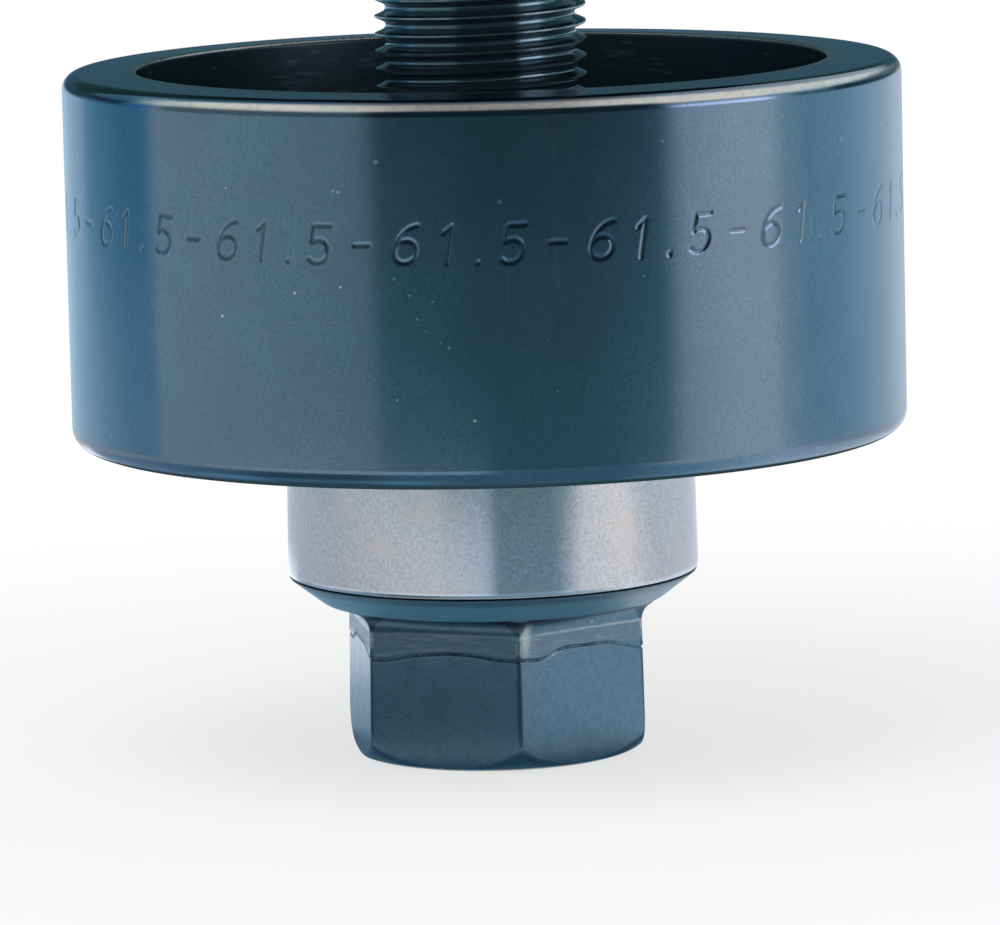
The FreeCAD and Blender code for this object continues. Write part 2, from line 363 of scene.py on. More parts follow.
def forged_finish(finish):
    """Blackened forging: close scale, a rubbed zone above its forging line with a painted highlight at the
    cove's foot, a painted dark reflection down the corners, and a matt cone with a painted lighter right
    side and painted shadow along the flange's edge.
    """
    material, tree = new_material("forged_black")
    place, across, radius, height = where(tree)
    scale = grain(place, 0.8 * MM, detail=4, roughness=0.65)
    fine = grain(place, 0.2 * MM, detail=3, roughness=0.6)
    streaks = grain(place, 0.3 * MM, stretch=(9, 9, 1), detail=3)
    cloud = grain(place, 4 * MM, detail=2)
    above = height.within(*flash_zone) * (1 - height.within(cove_foot - 0.1 * MM, cove_foot + 0.3 * MM))
    # Painted highlight: a pale line along the cove's foot
    cove_foot_highlight = height.near(cove_foot + 0.12 * MM, 0.22 * MM) * streaks.within(0.3, 0.55)
    corner = radius + math.tan(head_draft) / math.cos(sixth / 2) * height
    corner = corner.within(head_corner_radius - 0.17 * MM, head_corner_radius - 0.09 * MM)
    cone = height.within(head_height - 0.3 * MM, head_height + 0.1 * MM) * radius.within(*cone_start)
    colour = blend(fine.within(0.3, 0.7), tinted(finish.forged, 0.82), tinted(finish.forged, 1.06))
    colour = blend(scale.within(0.42, 0.62) * 0.5, colour, tinted(finish.forged, 0.76))
    # Painted dark reflection: a dark line down the head's corners, below the forging line
    colour = blend(corner * (1 - above) * 0.75, colour, tinted(finish.forged, 0.35))
    # Rubbed wear above the forging line, plus the cove's painted highlight
    rubbed = above * streaks.within(0.5, 0.7) * 0.13 + cove_foot_highlight * 0.3 + above * 0.05
    rubbed = rubbed + corner * above * scale.within(0.35, 0.6) * 0.3
    colour = blend(rubbed.maths("MINIMUM", 1.0), colour, opaque(finish.bare))
    scored = specks(place, 2.3 * MM, 0.05) * cloud.within(0.5, 0.6)
    colour = blend(scored * 0.5, colour, opaque(finish.bare))
    colour = cone_colour(finish, colour, cone, across, radius, streaks)
    worn = measure(times(place, worn_spot_squeeze), "DISTANCE", head_worn_spot)
    worn = (1 - worn.within(0.15 * MM, 0.95 * MM)) * scale.within(0.3, 0.55)
    colour = blend(worn * 0.6, colour, opaque(finish.bare))
    roughness = 0.2 + 0.1 * scale + 0.06 * fine + 0.12 * above + 0.1 * cone
    relief = scale * 0.5 + fine * 0.3 + streaks * above * 0.6
    surface(colour, roughness, relief, 0.012 * MM, 1 - 0.8 * cone)
    return material


def thread_finish(finish):
    """Blackened rolled thread, its crests rubbed paler."""
    material, tree = new_material("thread_black")
    place, _, radius, _ = where(tree)
    fine = grain(place, 0.3 * MM, detail=3)
    patches = grain(place, 1.4 * MM, detail=2)
    crest = radius.within(stud_radius - 0.2 * MM, stud_radius - 0.05 * MM) * patches.within(0.45, 0.6)
    colour = blend(fine, tinted(finish.thread, 0.8), tinted(finish.thread, 1.1))
    colour = blend(crest * 0.16, colour, opaque(finish.bare))
    surface(colour, 0.11 + 0.08 * fine, fine, 0.004 * MM, 0.84)
    return material


def punch_wear(place, radius, height):
    """Where the punch is bare: its full-size land, its shearing faces, its edges and a few dots."""
    smears = grain(place, 0.4 * MM, stretch=(8, 8, 1), detail=3)
    rubbed = grain(place, 0.9 * MM, detail=4, roughness=0.7)
    land = radius.within(punch_high.x - 0.25 * MM, punch_high.x - 0.08 * MM)
    land = land * (0.2 + 0.5 * smears.within(0.4, 0.65))
    shear = radius.within(punch_bore + 0.1 * MM, punch_bore + 0.4 * MM) * (0.5 + 0.4 * rubbed)
    shear = shear * (1 - height.within(punch_land_top - 2 * MM, punch_land_top - 1.5 * MM))
    worn = height.near(punch_high.z - punch_chamfer, 0.22 * MM) + height.near(punch_land_top, 0.3 * MM)
    worn = worn + (height - radius).near(punch_high.z - punch_high.x + 1.9 * MM, 0.3 * MM)
    worn = worn * radius.within(punch_bore + 4 * MM, punch_bore + 4.5 * MM) * rubbed.within(0.35, 0.6) * 0.7
    dots = specks(place, 2.6 * MM, 0.07) * grain(place, 8 * MM).within(0.48, 0.56)
    return (land + shear + worn + dots).maths("MINIMUM", 1.0)


def punch_finish(finish):
    """Turned and blackened punch, bare where it is ground or rubbed."""
    material, tree = new_material("punch_black")
    place, _, radius, height = where(tree)
    mottle = grain(place, 6 * MM, detail=3)
    fine = grain(place, 0.3 * MM, detail=4, roughness=0.7)
    turning = grain(place, 0.16 * MM, stretch=(60, 60, 1), detail=2)
    rings = (radius / (0.3 * MM)).maths("SINE") * 0.25 + turning
    colour = blend(mottle.within(0.35, 0.65), tinted(finish.oxide, 0.88), tinted(finish.oxide, 1.06))
    colour = blend(fine.within(0.32, 0.68), tinted(finish.oxide, 0.8), colour)
    bare = punch_wear(place, radius, height)
    colour = blend(bare, colour, opaque(finish.bare))
    roughness = 0.12 + 0.07 * fine + 0.04 * mottle + 0.1 * bare
    surface(colour, roughness, fine * 0.5 + rings * 0.5, 0.003 * MM)
    return material


def plated_finish(finish):
    """Tumbled and plated sheet: close grain, cloudy plating, warm stains and painted highlights along its
    foot and its top round.
    """
    material, tree = new_material("plated_shell")
    place, _, _, height = where(tree)
    cloud = grain(place, 5 * MM, detail=3)
    fine = grain(place, 0.3 * MM, detail=4, roughness=0.7)
    colour = blend(fine.within(0.3, 0.7), tinted(finish.plated, 0.84), tinted(finish.plated, 1.16))
    warm = opaque([level * share for level, share in zip(finish.plated, plated_stain)])
    colour = blend(cloud.within(0.5, 0.7) * 0.6, colour, warm)
    pits = specks(place, 1.1 * MM, 0.12) * fine.within(0.5, 0.6)
    colour = blend(pits, colour, tinted(finish.plated, 0.55))
    scrapes = grain(place, 0.1 * MM, stretch=(30, 30, 1), detail=2).within(0.66, 0.74)
    colour = blend(scrapes * cloud.within(0.48, 0.6) * 0.5, colour, tinted(finish.plated, 1.5))
    # Painted highlights: lighter plating on the foot's round and the top's round
    edges = height.near(shell_low.z + 0.3 * MM, 0.25 * MM) + height.near(shell_high.z - 0.85 * MM, 0.2 * MM)
    colour = blend(edges * cloud.within(0.4, 0.6) * 0.7, colour, tinted(finish.plated, 1.6))
    surface(colour, 0.1 + 0.06 * fine + 0.03 * cloud, fine * 0.9 - pits * 0.5, 0.003 * MM)
    return material


def ground_finish(name, colour_of, roughness_of, ring_size):
    """Ground bearing steel with fine rings round the axis."""
    material, tree = new_material(name)
    place = where(tree)[0]
    fine = grain(place, 0.2 * MM, detail=3)
    rings = grain(place, ring_size, stretch=(30, 30, 1), detail=2)
    colour = blend(fine.within(0.3, 0.7), tinted(colour_of, 0.92), tinted(colour_of, 1.05))
    surface(colour, roughness_of + 0.06 * fine + 0.04 * rings, fine * 0.3 + rings * 0.6, 0.003 * MM)
    return material


# Surfaces


def make_piece(name, points, faces, body, material, replaced):
    """A closed smooth mesh from points and faces; equal points are welded and flat slivers go."""
    mesh = bpy.data.meshes.new(name)
    mesh.from_pydata(np.asarray(points).reshape(-1, 3), [], faces)
    work = bmesh.new()
    work.from_mesh(mesh)
    bmesh.ops.remove_doubles(work, verts=work.verts, dist=0.0002 * MM)
    bmesh.ops.dissolve_degenerate(work, edges=work.edges, dist=0.0001 * MM)
    work.to_mesh(mesh)
    work.free()
    mesh.shade_smooth()
    mesh.set_sharp_from_angle(angle=math.radians(40))
    mesh.materials.append(material)
    piece = bpy.data.objects.new(name, mesh)
    bpy.context.scene.collection.objects.link(piece)
    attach(piece, body)
    if replaced:
        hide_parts(replaced)
    return piece


def grid_faces(rows, columns, closed_rows=False, first=0):
    """Quads of a grid whose columns run round; row by row, and the last row meets the first if closed."""
    row = np.arange(rows if closed_rows else rows - 1)[:, None]
    column = np.arange(columns)[None, :]
    up = (row + 1) % rows * columns
    here = row * columns
    across = (column + 1) % columns
    return first + np.stack([here + column, here + across, up + across, up + column], -1).reshape(-1, 4)


def ring_faces(low, high, columns):
    """Quads between two rings of points that start at the numbers low and high."""
    column = np.arange(columns)
    across = (column + 1) % columns
    return np.stack([low + column, low + across, high + across, high + column], -1)


def dress(node, material):
    """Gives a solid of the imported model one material."""
    node.data.materials.clear()
    node.data.materials.append(material)


def outline(corners, closed=True, steps=5, guard=0.12 * MM):
    """An (r, z) outline through corners (r, z, round).

    A rounded corner is an arc that touches both its sides at round / tan(half the corner's angle).
    A guard point beyond each end of an arc keeps the flat beside it flat in shading.
    """
    places = np.array([c[:2] for c in corners], float)
    points = []
    for k, (_, _, size) in enumerate(corners):
        if size == 0 or (not closed and k in (0, len(corners) - 1)):
            points.append(places[k])
            continue
        sides = []
        for neighbour in (k - 1, (k + 1) % len(corners)):
            side = places[neighbour] - places[k]
            length = np.linalg.norm(side)
            sides.append((side / length, length))
        (before, before_length), (after, after_length) = sides
        half = math.acos(np.clip(before @ after, -1, 1)) / 2
        cut = size / math.tan(half)
        centre = places[k] + (before + after) / np.linalg.norm(before + after) * size / math.sin(half)
        start = places[k] + before * cut - centre
        end = places[k] + after * cut - centre
        turn = math.pi - 2 * half
        if before_length > 3 * (cut + guard):
            points.append(places[k] + before * (cut + guard))
        for share in np.linspace(0, 1, steps):
            swing = start * math.sin((1 - share) * turn) + end * math.sin(share * turn)
            points.append(centre + swing / math.sin(turn))
        if after_length > 3 * (cut + guard):
            points.append(places[k] + after * (cut + guard))
    return np.array(points)


def round_axis(radius, height, angle):
    """Points (radius cos angle, radius sin angle, height) of arrays that broadcast together."""
    radius, height, angle = np.broadcast_arrays(radius, height, angle)
    return np.stack([radius * np.cos(angle), radius * np.sin(angle), height], -1)


def turned(profile, columns):
    """An outline carried round the axis: one row of points for each outline point."""
    angle = np.linspace(0, 2 * np.pi, columns, endpoint=False)
    return round_axis(profile[:, :1], profile[:, 1:], angle[None, :])


def smooth_step(value):
    value = np.clip(value, 0, 1)
    return value * value * (3 - 2 * value)


def soft_minimum(a, b, reach):
    """The lower of two arrays, with a round fillet where they come within a reach of each other."""
    share = np.clip(0.5 + 0.5 * (b - a) / reach, 0, 1)
    return b * (1 - share) + a * share - reach * share * (1 - share)


def ripple(angle, height, size, seed):
    """Gentle unevenness from a few waves in angle and height, between about -1 and 1."""
    phases = np.random.default_rng(seed).uniform(0, 2 * np.pi, (4, 2))
    total = 0
    for turns, (one, two) in zip((3, 7, 12, 19), phases):
        total = total + np.sin(turns * angle + one) * np.cos(height / size * (0.6 + turns / 12) + two)
    return total / 4


# Stud head

head_turn = math.radians(-21.5)
head_across_flats = 25.2 * MM
head_height = 14.1 * MM
head_draft = math.radians(1.0)
head_corner_round = 0.4 * MM
head_end_radius = 11.5 * MM
head_cove = 1.8 * MM
flange_under_radius = 15.5 * MM
flange_edge_land = 0.1 * MM
flange_radius = stud_high.x
flange_z = race_low.z
sixth = math.pi / 3
cove_foot = head_height - head_cove
# A worn streak up the head's corner: a round spot where heights are squeezed to 0.35
worn_spot_squeeze = (1, 1, 0.35)
head_worn_spot = (2.9 * MM, -13.9 * MM, 12.4 * 0.35 * MM)
# Heights where the rubbed zone sets in, radii where the cone does, and X where the cone turns greyer:
# painted light on its right side
flash_zone = (10.4 * MM, 11.2 * MM)
cone_start = (14.9 * MM, 15.3 * MM)
cone_lit_side = (-4 * MM, 18 * MM)
head_corner_radius = head_across_flats / 2 / math.cos(sixth / 2)
# The forging line on two neighbouring faces: (across the face from its middle, height)
flash_faces = (
    ((-7.1, 9.85), (-5.3, 9.98), (-3.0, 10.45), (0.2, 10.75), (2.7, 10.7), (5.2, 10.3)),
    ((-6.8, 10.3), (-4.7, 10.06), (-2.3, 10.95), (3.3, 10.83), (5.4, 10.4), (7.0, 9.9)),
)
first_flash_face = head_turn - math.pi / 2
flash_low = 8 * MM


def apothem_at(height):
    """From the axis to a flat of the drafted head."""
    return head_across_flats / 2 - math.tan(head_draft) * height


def hexagon_columns():
    """Angles of the head's columns: even along each flat, and even round each rounded corner."""
    apothem = apothem_at(0)
    inner = apothem - head_corner_round
    along = np.linspace(-1, 1, 49) * inner * math.tan(sixth / 2)
    flat = np.arctan2(along, apothem)
    swing = np.linspace(0, sixth, 13)[1:-1]
    reach = inner / math.cos(sixth / 2)
    bend = np.arctan2(reach * math.sin(sixth / 2) + head_corner_round * np.sin(swing),
                      reach * math.cos(sixth / 2) + head_corner_round * np.cos(swing))
    sector = np.concatenate([flat, bend])
    starts = head_turn + sixth / 2 + sixth * np.arange(6)
    return (starts[:, None] + sector[None, :]).ravel()


def hexagon_radius(angle, apothem):
    """Distance from the axis to a hexagon with rounded corners.

    It is apothem / cos b on a flat, b from the flat's middle, and the far side of the corner's circle
    near a corner.
    """
    from_middle = np.abs((angle - head_turn) % sixth - sixth / 2)
    flat = apothem / np.cos(from_middle)
    inner = apothem - head_corner_round
    reach = inner / math.cos(sixth / 2)
    from_corner = sixth / 2 - from_middle
    inside = np.maximum(head_corner_round ** 2 - (reach * np.sin(from_corner)) ** 2, 0)
    bend = reach * np.cos(from_corner) + np.sqrt(inside)
    return np.where(from_middle > np.arctan(inner * math.tan(sixth / 2) / apothem), bend, flat)


def flash_line(angle):
    """Height of the forging line: straight between its points, then averaged over 6 degrees."""
    angles, heights = [], []
    for face in range(6):
        middle = first_flash_face + face * sixth
        for across, height in flash_faces[face % 2]:
            angles.append(middle + math.atan2(across * MM, apothem_at(0)))
            heights.append(height * MM)
    spread = np.radians(np.linspace(-3, 3, 7))
    near = [np.interp(angle + step, angles, heights, period=2 * np.pi) for step in spread]
    return np.mean(near, axis=0)


def forging_relief(form, angle, height, line):
    """Radius change of the forged faces: a step, a fold and a lip along the forging line, and a ripple."""
    from_line = height - line
    proud = smooth_step(from_line / (0.22 * MM) + 0.5) * form.flash_step
    fold = np.exp(-(from_line / (0.11 * MM)) ** 2) * form.flash_groove
    lip = np.exp(-((from_line - 0.3 * MM) / (0.18 * MM)) ** 2) * 0.03 * MM
    return proud + lip - fold + 0.035 * MM * ripple(angle, height, 3 * MM, 5)


def hexagon_rows(form, angle):
    """Rows of the head from the middle of its domed end up to the foot of its cove."""
    dome = head_corner_radius - head_end_radius
    rows = [(share * head_end_radius + 0 * angle, 0 * angle) for share in (0, 0.3, 0.6, 0.8, 0.9, 0.97)]
    swings = np.linspace(0, np.pi / 2, 28)
    heights = dome * (1 - np.cos(swings))
    limits = head_end_radius + dome * np.sin(swings)
    upper = np.concatenate([np.linspace(dome, flash_low, 24)[1:],
                            np.linspace(flash_low, cove_foot, 64)[1:]])
    heights = np.concatenate([heights, upper])
    limits = np.concatenate([limits, np.full(len(upper), 2 * head_corner_radius)])
    line = flash_line(angle)
    for height, limit in zip(heights, limits):
        radius = hexagon_radius(angle, apothem_at(height)) + forging_relief(form, angle, height, line)
        rows.append((soft_minimum(radius, limit + 0 * angle, 0.35 * MM), height + 0 * angle))
    return rows


def head_rows(form):
    """Rows of (radius, height) arrays from the middle of the head's end up to the flange's top."""
    angle = hexagon_columns()
    rows = hexagon_rows(form, angle)
    for swing in np.linspace(0, np.pi / 2, 8)[1:]:
        height = cove_foot + head_cove * math.sin(swing)
        spread = head_cove * (1 - math.cos(swing)) + form.flash_step
        radius = hexagon_radius(angle, apothem_at(height)) + spread
        rows.append((np.minimum(radius, flange_under_radius - 0.15 * MM), height + 0 * angle))
    rim = outline([
        (flange_under_radius - 1.5 * MM, head_height, 0),
        (flange_under_radius, head_height, 1.0 * MM),
        (flange_radius, flange_z - flange_edge_land, 0.08 * MM),
        (flange_radius, flange_z, 0.06 * MM),
        (0, flange_z, 0),
    ], closed=False)[1:]
    rows += [(radius + 0 * angle, height + 0 * angle) for radius, height in rim]
    return angle, rows


class KNOCKOUT_OT_stud_head(bpy.types.Operator):
    """Forged hex head with its flange"""
    bl_idname = "knockout.stud_head"
    bl_label = "Stud head"

    def execute(self, context):
        angle, rows = head_rows(context.scene.knockout_form)
        radius, height = (np.array([row[k] for row in rows]) for k in (0, 1))
        points = round_axis(radius, height, angle[None, :])
        faces = grid_faces(len(rows), len(angle)).tolist()
        make_piece("stud_head", points, faces, "head_and_stud",
                   forged_finish(context.scene.knockout_finish), "draw_stud")
        return {"FINISHED"}


# Threads

stud_radius = 9.525 * MM
stud_end_chamfer = 1.2 * MM
centre_hole_radius = 1.6 * MM
centre_hole_depth = 4 * MM
thread_start = 33 * MM
turn_columns = 96
# Where the rows lie in one pitch, as a share of it from a crest
row_places = np.array([0, 0.05, 0.075, 0.16, 0.22, 0.28, 0.34, 0.39, 0.43, 0.57, 0.61, 0.66, 0.72, 0.78,
                       0.84, 0.925, 0.95])
pitch_rows = len(row_places)
# Half widths of the root's flat and of its curve, and its lean, as shares of the pitch and of the depth
root_flat = 0.07
root_width = 0.3
root_lean = 0.012
# How far the shank's foot goes down into the flange
sinks = 0.3 * MM


def thread_wave():
    """Share of the thread's depth at each row of one pitch, 0 at the crest and 1 at the root.

    An eighth of the pitch is flat crest. The flanks are straight and run smoothly, as a parabola from
    root_width to root_flat on each side, into a flat root that leans upwards by root_lean.
    """
    place = np.minimum(row_places, 1 - row_places)
    from_root = 0.5 - place
    slope = 1 / (7 / 16 - (root_width + root_flat) / 2)
    flank = slope * (place - 1 / 16)
    root = 1 - slope / (2 * (root_width - root_flat)) * np.maximum(from_root - root_flat, 0) ** 2
    lean = root_lean * np.clip((row_places - 0.5) / root_flat, -1, 1)
    share = np.clip(np.where(from_root < root_width, root, flank), 0, 1)
    return share * (1 + lean)


def thread_grid(form, bottom, top):
    """Heights, root shares and angles of a right-handed helical grid from bottom to top.

    A row of one pitch, at angle a, lies at its place in the pitch + a / (2 pi), so it follows the thread.
    Heights past an end are brought back to it.
    """
    pitch = form.thread_pitch
    first = math.floor((bottom - form.thread_phase) / pitch - 1.5) * pitch_rows
    last = math.ceil((top - form.thread_phase) / pitch + 0.5) * pitch_rows
    index = np.arange(first, last + 1)
    turns = index // pitch_rows + row_places[index % pitch_rows]
    angle = np.linspace(0, 2 * np.pi, turn_columns, endpoint=False)
    height = form.thread_phase + (turns[:, None] + angle[None, :] / (2 * np.pi)) * pitch
    share = thread_wave()[index % pitch_rows][:, None] + 0 * height
    return np.clip(height, bottom, top), share, angle


def helical_faces(rows):
    """Quads of a helical grid: past the last column, a row goes on as the row one pitch higher."""
    row = np.arange(rows - 1)[:, None]
    column = np.arange(turn_columns)[None, :]
    last = column == turn_columns - 1
    across = np.where(last, 0, column + 1)
    lift = np.where(last, pitch_rows, 0)
    low = np.minimum(row + lift, rows - 1) * turn_columns
    high = np.minimum(row + 1 + lift, rows - 1) * turn_columns
    return np.stack([row * turn_columns + column, low + across, high + across,
                     (row + 1) * turn_columns + column], -1).reshape(-1, 4)


class KNOCKOUT_OT_stud_thread(bpy.types.Operator):
    """Threaded stud with its chamfered, centre-drilled end"""
    bl_idname = "knockout.stud_thread"
    bl_label = "Stud thread"

    def execute(self, context):
        form = context.scene.knockout_form
        top = stud_high.z
        height, share, angle = thread_grid(form, flange_z - sinks, top)
        fading_in = smooth_step((height - thread_start) / (2 * form.thread_pitch))
        radius = stud_radius - form.thread_depth * share * fading_in
        radius = np.minimum(radius, stud_radius - stud_end_chamfer + (top - height))
        rows = len(radius)
        end = outline([
            (stud_radius - stud_end_chamfer - 0.3 * MM, top, 0),
            (2 * centre_hole_radius, top, 0.05 * MM),
            (centre_hole_radius, top - centre_hole_radius, 0.1 * MM),
            (centre_hole_radius, top - centre_hole_depth / 2, 0.1 * MM),
            (0, top - centre_hole_depth, 0),
        ], closed=False)
        foot = np.array([[0, flange_z - sinks]])
        points = np.concatenate([round_axis(radius, height, angle[None, :]),
                                 turned(end, turn_columns), turned(foot, turn_columns)])
        upper = grid_faces(len(end) + 1, turn_columns, first=(rows - 1) * turn_columns)
        lower = ring_faces((rows + len(end)) * turn_columns, 0, turn_columns)
        faces = np.concatenate([helical_faces(rows), upper, lower]).tolist()
        make_piece("stud_thread", points, faces, "head_and_stud",
                   thread_finish(context.scene.knockout_finish), "draw_stud")
        return {"FINISHED"}


# Bearing

shell_wall = 1.0 * MM
shell_taper = 0.2 * MM
shell_crown = 0.9 * MM
shell_corner = 0.8 * MM
shell_lip_height = 0.6 * MM
shell_lip_reach = 0.75 * MM
shell_bore = 9.825 * MM
shell_columns = 384
# Where the plating is stained, its red, green and blue change by these
plated_stain = (1.12, 1.02, 0.93)


def shell_outline():
    """Section of the drawn cap: closed top, tapered skirt and a lip crimped in at the foot."""
    foot, top = shell_low.z - 0.12 * MM, shell_high.z
    outer = shell_high.x
    inner_top = outer - shell_taper - shell_wall
    lip = outer - shell_wall - shell_lip_reach
    return outline([
        (outer, foot, 0.35 * MM),
        (outer - shell_taper, top, shell_corner),
        (shell_bore, top, 0.2 * MM),
        (shell_bore, top - shell_crown, 0.1 * MM),
        (inner_top, top - shell_crown, 0.1 * MM),
        (outer - shell_wall, foot + shell_lip_height, 0.1 * MM),
        (lip, foot + shell_lip_height, 0.1 * MM),
        (lip, foot, 0.1 * MM),
    ], steps=7)


class KNOCKOUT_OT_bearing_shell(bpy.types.Operator):
    """Drawn and plated shell of the thrust bearing"""
    bl_idname = "knockout.bearing_shell"
    bl_label = "Bearing shell"

    def execute(self, context):
        section = shell_outline()
        points = turned(section, shell_columns)
        faces = grid_faces(len(section), shell_columns, closed_rows=True).tolist()
        make_piece("shell", points, faces, "bearing_cap",
                   plated_finish(context.scene.knockout_finish), "bearing_shell")
        return {"FINISHED"}


class KNOCKOUT_OT_bearing_inside(bpy.types.Operator):
    """Finishes of the races, the balls and their cage"""
    bl_idname = "knockout.bearing_inside"
    bl_label = "Races, balls and cage"

    def execute(self, context):
        finish = context.scene.knockout_finish
        race = ground_finish("bearing_steel", finish.ground, 0.22, 0.08 * MM)
        ball = ground_finish("ball_steel", tinted(finish.ground, 1.1)[:3], 0.08, 0.5 * MM)
        cage = ground_finish("cage_brass", finish.brass, 0.3, 0.2 * MM)
        for name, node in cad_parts.items():
            if name.endswith("_race"):
                dress(node, race)
            elif name.startswith("bearing_ball"):
                dress(node, ball)
            elif name == "ball_cage":
                dress(node, cage)
        return {"FINISHED"}


# Die

die_columns = 384
stamp_columns = 1920
stamp_rows = 30
stamp_middle = 50.5 * MM
stamp_reach = 2.2 * MM
stamp_stroke = 0.29 * MM
die_rim_round = 1.4 * MM
die_mouth = 31.1 * MM
die_edge = die_high.z - 0.08 * MM
die_rim = die_high.z - 0.25 * MM
die_cup = 31.6 * MM
die_bore = 9.825 * MM
die_floor = die_low.z + 8 * MM
die_land = die_high.z - 9 * MM
die_bore_bevel = 0.8 * MM
stamp_slant = 0.16
# The foot's painted highlight lies in this direction, and sets in this far out along it
foot_lit_side = (-0.4067, -0.9135, 0)
foot_lit_reach = (35 * MM, 37 * MM)
# Radii where the painted shade of the matt underside sets in, and X where the rubbed stripe round the
# shoulder does, partly a painted highlight
die_underside_shade = (33.5 * MM, 35 * MM)
shoulder_highlight_start = (-31.5 * MM, -28.2 * MM)
# Nicks of the wall that faces front: (direction in degrees, height, radius)
wall_nicks = (
    (-88, 54, 0.24), (-104, 57.5, 0.24), (-66, 58.5, 0.16), (-34, 57, 0.16), (-21, 57.5, 0.16),
    (-102, 47.5, 0.15), (-100, 46, 0.17), (-99, 44, 0.17), (-98, 43, 0.12), (-96, 42, 0.14),
    (-95, 41.5, 0.16), (-97, 45.5, 0.14), (-82, 42, 0.1), (-81, 37.5, 0.13), (-102, 37, 0.15),
    (-69, 47, 0.13), (-126, 55, 0.14), (-110, 55, 0.12),
)


def bow(centre, size, start, end, steps=10):
    """Points along part of an ellipse, angles in degrees."""
    angle = np.radians(np.linspace(start, end, steps))
    return np.stack([centre[0] + size[0] * np.cos(angle), centre[1] + size[1] * np.sin(angle)], -1)


def signs():
    """Strokes of each stamped sign in a box 1 high, and the sign's width."""
    return {
        "6": ([bow((0.33, 0.3), (0.3, 0.3), 0, 360, 18),
               bow((0.62, 0.34), (0.58, 0.66), 180, 95, 9)], 0.95),
        "1": ([np.array([(0.3, 0.0), (0.3, 1.0)]),
               np.array([(0.3, 1.0), (0.1, 0.8)])], 0.75),
        "5": ([np.array([(0.58, 1.0), (0.12, 1.0), (0.1, 0.58)]),
               bow((0.3, 0.31), (0.3, 0.31), 130, -140, 14)], 0.95),
        ".": ([np.array([(0.2, 0.0), (0.2, 0.04)])], 0.55),
        "-": ([np.array([(0.12, 0.48), (0.52, 0.48)])], 0.95),
    }


def stroke_distance(places, strokes):
    """Least distance from each place to a set of polylines."""
    least = np.full(places.shape[:-1], np.inf)
    for line in strokes:
        for start, end in zip(line[:-1], line[1:]):
            along = end - start
            share = np.clip((places - start) @ along / (along @ along), 0, 1)
            gap = np.linalg.norm(places - start - share[..., None] * along, axis=-1)
            least = np.minimum(least, gap)
    return least


def stamp_relief(form, angle, height):
    """Radius change of the stamped row: V-shaped strokes that fade at the row's edges.

    The text repeats evenly round the die, read along the wall as (arc length, height).
    """
    known = signs()
    width = sum(known[sign][1] for sign in form.stamp_text) * form.stamp_height
    period = 2 * np.pi * die_high.x / form.stamp_repeats
    along = (angle * die_high.x) % period
    wander = 0.12 * MM * np.sin(2 * angle + 1) + 0.06 * MM * np.sin(17 * angle)
    up = height - (stamp_middle - form.stamp_height / 2) - wander
    places = np.stack([along - stamp_slant * up, up], -1) / form.stamp_height
    cursor = 0.0
    strokes = []
    spread = period / width
    for sign in form.stamp_text:
        lines, advance = known[sign]
        strokes += [line + (cursor + (advance * spread - advance) / 2, 0) for line in lines]
        cursor += advance * spread
    gap = stroke_distance(places, strokes) * form.stamp_height
    force = 0.8 + 0.2 * np.sin(5 * angle + 0.5)
    groove = -smooth_step(1 - gap / stamp_stroke)
    edge = stamp_reach - np.abs(height - stamp_middle)
    return form.stamp_depth * force * groove * smooth_step(edge / (0.3 * MM))


def die_outline():
    """Section of the die cup, its outer wall first, and the place of the wall's stamped stretch."""
    below = stamp_middle - stamp_reach
    above = stamp_middle + stamp_reach
    guard = 0.1 * MM
    wall = die_high.x
    section = outline([
        (wall, die_low.z, 1.7 * MM),
        (wall, below - guard, 0),
        (wall, below, 0),
        (wall, above, 0),
        (wall, above + guard, 0),
        (wall, die_rim, die_rim_round),
        (die_mouth, die_edge, 0.35 * MM),
        (die_mouth, die_land, 0.2 * MM),
        (die_cup, die_land - 1 * MM, 0.2 * MM),
        (die_cup, die_floor, 3 * MM),
        (die_bore + die_bore_bevel, die_floor, 0.1 * MM),
        (die_bore, die_floor - die_bore_bevel, 0.1 * MM),
        (die_bore, die_low.z + die_bore_bevel, 0.1 * MM),
        (die_bore + die_bore_bevel, die_low.z, 0.1 * MM),
    ], steps=8)
    start = int(np.argmin(np.abs(section[:, 1] - below) + np.abs(section[:, 0] - wall)))
    return section, start, below, above


def die_mesh(form):
    """The turned section with a finer grid let into the wall for the stamped row."""
    section, start, below, above = die_outline()
    base = turned(section, die_columns)
    rows = len(section)
    faces = grid_faces(rows, die_columns, closed_rows=True)
    strip = slice(start * die_columns, (start + 1) * die_columns)
    coarse = np.delete(faces, np.arange(strip.start, strip.stop), axis=0).tolist()
    angle = np.linspace(0, 2 * np.pi, stamp_columns, endpoint=False)[None, :]
    margin = 0.06 * MM
    height = np.linspace(below + margin, above - margin, stamp_rows)[:, None]
    relief = stamp_relief(form, *np.broadcast_arrays(angle, height))
    fine = round_axis(die_high.x + relief, height, angle)
    first = rows * die_columns
    fine_faces = grid_faces(stamp_rows, stamp_columns, first=first).tolist()
    share = stamp_columns // die_columns
    column = np.arange(die_columns)[:, None]
    pair = np.concatenate([column, (column + 1) % die_columns], 1)
    steps = column * share + np.arange(share + 1)[None, :]
    low_fine = first + steps % stamp_columns
    high_fine = first + (stamp_rows - 1) * stamp_columns + steps % stamp_columns
    low = start * die_columns + pair
    high = low + die_columns
    stitches = np.concatenate([low, low_fine[:, ::-1]], 1).tolist()
    stitches += np.concatenate([high_fine, high[:, ::-1]], 1).tolist()
    points = np.concatenate([base.reshape(-1, 3), fine.reshape(-1, 3)])
    return points, coarse + fine_faces + stitches


